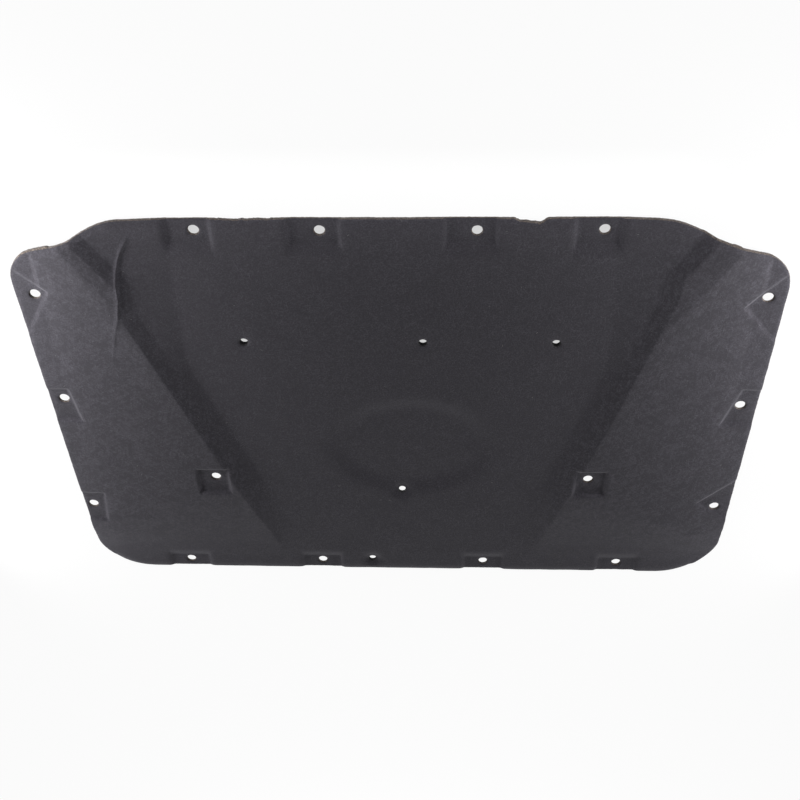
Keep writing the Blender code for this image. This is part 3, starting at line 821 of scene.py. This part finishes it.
def fibre_tree():
    """A short bent fibre on each given point, turned at random and scaled by the point's own size."""
    tree = bpy.data.node_groups.new("loose_fibres", "GeometryNodeTree")
    tree.interface.new_socket("Points", in_out="INPUT", socket_type="NodeSocketGeometry")
    for name in ("Length", "Thickness", "Bend", "Tumble"):
        tree.interface.new_socket(name, in_out="INPUT", socket_type="NodeSocketFloat")
    tree.interface.new_socket("Seed", in_out="INPUT", socket_type="NodeSocketInt")
    tree.interface.new_socket("Finish", in_out="INPUT", socket_type="NodeSocketMaterial")
    tree.interface.new_socket("Fibres", in_out="OUTPUT", socket_type="NodeSocketGeometry")
    given, out = tree.nodes.new("NodeGroupInput"), tree.nodes.new("NodeGroupOutput")

    def vector(x=0.0, y=0.0, z=0.0):
        node = tree.nodes.new("ShaderNodeCombineXYZ")
        for socket, value in zip(node.inputs, (x, y, z)):
            if isinstance(value, float):
                socket.default_value = value
            else:
                tree.links.new(value, socket)
        return node.outputs[0]

    half = math_node(tree, "MULTIPLY", given.outputs["Length"], 0.5)
    bend = math_node(tree, "MULTIPLY", given.outputs["Length"], given.outputs["Bend"])
    spine = tree.nodes.new("GeometryNodeCurveQuadraticBezier")
    spine.inputs["Resolution"].default_value = FIBRE_JOINTS
    section = tree.nodes.new("GeometryNodeCurvePrimitiveCircle")
    section.inputs["Resolution"].default_value = FIBRE_SIDES
    tube = tree.nodes.new("GeometryNodeCurveToMesh")
    tube.inputs["Fill Caps"].default_value = True
    turn = tree.nodes.new("FunctionNodeRandomValue")
    turn.data_type = "FLOAT_VECTOR"
    backwards = math_node(tree, "MULTIPLY", given.outputs["Tumble"], -1.0)
    size = tree.nodes.new("GeometryNodeInputNamedAttribute")
    size.data_type = "FLOAT"
    size.inputs["Name"].default_value = "size"
    place = tree.nodes.new("GeometryNodeInstanceOnPoints")
    real = tree.nodes.new("GeometryNodeRealizeInstances")
    finish = tree.nodes.new("GeometryNodeSetMaterial")
    link_all(
        tree, (vector(x=math_node(tree, "MULTIPLY", half, -1.0)), spine.inputs["Start"]),
        (vector(y=bend), spine.inputs["Middle"]), (vector(x=half), spine.inputs["End"]),
        (math_node(tree, "MULTIPLY", given.outputs["Thickness"], 0.5), section.inputs["Radius"]),
        (spine.outputs[0], tube.inputs["Curve"]), (section.outputs[0], tube.inputs["Profile Curve"]),
        (vector(backwards, backwards, -math.pi), turn.inputs[0]),
        (vector(given.outputs["Tumble"], given.outputs["Tumble"], math.pi), turn.inputs[1]),
        (given.outputs["Seed"], turn.inputs["Seed"]), (given.outputs["Points"], place.inputs["Points"]),
        (tube.outputs[0], place.inputs["Instance"]), (turn.outputs[0], place.inputs["Rotation"]),
        (size.outputs[0], place.inputs["Scale"]), (place.outputs[0], real.inputs[0]),
        (real.outputs[0], finish.inputs["Geometry"]), (given.outputs["Finish"], finish.inputs["Material"]),
        (finish.outputs[0], out.inputs[0]))
    return tree


def loose_fibres(name, tree, points, sizes, values):
    """A plain mesh of loose fibres on the points."""
    dots = bpy.data.meshes.new(name)
    dots.from_pydata(points.tolist(), [], [])
    dots.attributes.new("size", "FLOAT", "POINT").data.foreach_set("value", np.asarray(sizes, np.float32))
    carrier = placed(name + "_points", dots)
    growth = carrier.modifiers.new("growth", "NODES")
    growth.node_group = tree
    for item in tree.interface.items_tree:
        if item.name in values:
            growth[item.identifier] = values[item.name]
    graph = bpy.context.evaluated_depsgraph_get()
    mesh = bpy.data.meshes.new_from_object(carrier.evaluated_get(graph), depsgraph=graph)
    mesh.name = name
    bpy.data.objects.remove(carrier)
    piece = placed(name, mesh)
    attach(piece, "root")


def lint_points(face):
    """Places of the lint: points of the face picked at random, a little above it."""
    draw = np.random.default_rng(7)
    picked = face[draw.choice(len(face), LINT_COUNT, replace=False)]
    return picked + (0.0, 0.0, LINT_LIFT), draw.uniform(*LINT_SIZES, LINT_COUNT)


# Floor, camera, lamps

def shade_below(tree):
    """Brightness of the floor, which is less in the shadow that the rear half of the pad lies on."""
    place, parts = tree.nodes.new("ShaderNodeTexCoord"), tree.nodes.new("ShaderNodeSeparateXYZ")
    tree.links.new(place.outputs["Object"], parts.inputs[0])
    across = math_node(tree, "LESS_THAN", math_node(tree, "ABSOLUTE", parts.outputs["X"]), SHADE_HALF)
    ahead = math_node(tree, "GREATER_THAN", parts.outputs["Y"], SHADE_FRONT)
    behind = math_node(tree, "LESS_THAN", parts.outputs["Y"], SHADE_REAR)
    within = math_node(tree, "MULTIPLY", math_node(tree, "MULTIPLY", across, ahead), behind)
    return math_node(tree, "MULTIPLY_ADD", within, SHADE_TONE - 1.0, 1.0)


def floor():
    mesh = bpy.data.meshes.new("floor")
    turns = (-1, -1), (1, -1), (1, 1), (-1, 1)
    corners = [(x * FLOOR_REACH, y * FLOOR_REACH, FLOOR_HEIGHT) for x, y in turns]
    mesh.from_pydata(corners, [], [(0, 1, 2, 3)])
    ground = placed("floor", mesh)
    material, tree, shader = new_material("pale_floor")
    shader.inputs["Base Color"].default_value = (FLOOR_GREY, FLOOR_GREY, FLOOR_GREY, 1.0)
    shader.inputs["Roughness"].default_value = 0.9
    shader.inputs["Specular IOR Level"].default_value = 0.1
    glow = tree.nodes.new("ShaderNodeEmission")
    rays = tree.nodes.new("ShaderNodeLightPath")
    mirrored = math_node(tree, "MAXIMUM", rays.outputs["Is Glossy Ray"], rays.outputs["Is Transmission Ray"])
    seen = math_node(tree, "MAXIMUM", rays.outputs["Is Camera Ray"], mirrored)
    share = math_node(tree, "MULTIPLY", seen, FLOOR_GLOW)
    mix = tree.nodes.new("ShaderNodeMixShader")
    link_all(tree, (shade_below(tree), glow.inputs["Strength"]), (share, mix.inputs[0]),
             (shader.outputs[0], mix.inputs[1]), (glow.outputs[0], mix.inputs[2]),
             (mix.outputs[0], tree.nodes["Material Output"].inputs["Surface"]))
    mesh.materials.append(material)


def camera():
    """A camera on the rear side that looks down on the pad, turned over so that its rear edge is up."""
    data = bpy.data.cameras.new("camera")
    eye = placed("camera", data)
    tilt, yaw, roll = (math.radians(a) for a in (CAMERA_TILT, CAMERA_YAW, CAMERA_ROLL))
    level = Matrix(((1, 0, 0), (0, -math.sin(tilt), math.cos(tilt)), (0, -math.cos(tilt), -math.sin(tilt))))
    pan = Matrix(((math.cos(yaw), 0, math.sin(yaw)), (0, 1, 0), (-math.sin(yaw), 0, math.cos(yaw))))
    lean = Matrix(((math.cos(roll), -math.sin(roll), 0), (math.sin(roll), math.cos(roll), 0), (0, 0, 1)))
    right, down, ahead = lean @ pan @ level
    place = Matrix((right, -down, -ahead)).transposed().to_4x4()
    place.translation = CAMERA_PLACE
    eye.matrix_world = place
    data.sensor_width = 36.0
    data.lens = CAMERA_LENS
    data.clip_start, data.clip_end = 0.05, 100.0
    bpy.context.scene.camera = eye


def lamp(name, place, aim, size, power):
    data = bpy.data.lights.new(name, "AREA")
    data.shape = "RECTANGLE"
    data.size, data.size_y = size
    data.energy = power
    light = placed(name, data)
    light.location = place
    light.rotation_euler = (Vector(aim) - Vector(place)).to_track_quat("-Z", "Y").to_euler()
    light.visible_camera = False


def studio():
    """Three low lamps along each side, a faint one behind, a far one in front, and a soft white surround."""
    for side, powers in ((-1, LEFT_POWERS), (1, RIGHT_POWERS)):
        for y, power in zip((-0.3, 0.1, 0.4), powers):
            place, aim = (side * SIDE_LAMP_OUT, y, SIDE_LAMP_UP), (side * 0.3, 0.6 * y, 0.0)
            lamp("side_lamp", place, aim, SIDE_LAMP_SIZE, power)
    lamp("rear_lamp", (0.0, 0.50, 0.07), (0.0, 0.30, 0.0), (0.9, 0.05), 0.5)
    lamp("front_lamp", (0.0, -2.4, 0.52), (0.0, 0.0, 0.0), (0.8, 0.3), 20.0)
    world = bpy.data.worlds.new("studio")
    world.use_nodes = True
    tree = world.node_tree
    tree.nodes.clear()
    rays = tree.nodes.new("ShaderNodeLightPath")
    soft, white = tree.nodes.new("ShaderNodeBackground"), tree.nodes.new("ShaderNodeBackground")
    soft.inputs["Strength"].default_value = AMBIENT
    mix, out = tree.nodes.new("ShaderNodeMixShader"), tree.nodes.new("ShaderNodeOutputWorld")
    soft.inputs["Color"].default_value = white.inputs["Color"].default_value = (1.0, 1.0, 1.0, 1.0)
    link_all(tree, (rays.outputs["Is Camera Ray"], mix.inputs[0]), (soft.outputs[0], mix.inputs[1]),
             (white.outputs[0], mix.inputs[2]), (mix.outputs[0], out.inputs["Surface"]))
    bpy.context.scene.world = world
    bpy.context.scene.view_settings.view_transform = "Standard"


camera()
studio()
floor()

needled = needled_fibres()
mesh, cut_edge, fray, face = pad_mesh(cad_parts["hood_pad"])
for material in (
        felt_material("black_felt", needled, BLACK_FELT, rough=0.95, sheen=0.15, bump=0.3, strand_share=0.25,
                      wear=0.22),
        felt_material("brown_core_fibre", needled, BROWN_CORE, rough=0.9, sheen=0.2, bump=0.8, width=1.3,
                      strand_share=0.8),
        felt_material("dark_backing_and_hole_shade", needled, DARK_BACKING_AND_HOLE_SHADE, rough=0.85, sheen=0.1, bump=0.4, width=0.8)):
    mesh.materials.append(material)
pad = placed("felt_pad", mesh)
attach(pad, "root")
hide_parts("hood_pad")

fibres = fibre_tree()
fuzz = felt_material("loose_fibre", needled, LOOSE_FIBRE, rough=0.9, sheen=0.2, bump=0.2)
lint = felt_material("pale_lint", needled, PALE_LINT, rough=0.9, sheen=0.2, bump=0.2)
ruffled = FUZZ_SIZE + swell(*cut_edge.T[:2], FUZZ_SWELL) + FUZZ_FRAYED * fray
loose_fibres("edge_fuzz", fibres, cut_edge, np.maximum(ruffled, FUZZ_LEAST),
             {"Length": FUZZ_LENGTH, "Thickness": FUZZ_THICKNESS, "Bend": FUZZ_BEND, "Tumble": FUZZ_TUMBLE,
              "Seed": 3, "Finish": fuzz})
specks, speck_sizes = lint_points(face)
loose_fibres("lint", fibres, specks, speck_sizes,
             {"Length": LINT_LENGTH, "Thickness": LINT_THICKNESS, "Bend": LINT_BEND, "Tumble": LINT_TUMBLE,
              "Seed": 5, "Finish": lint})
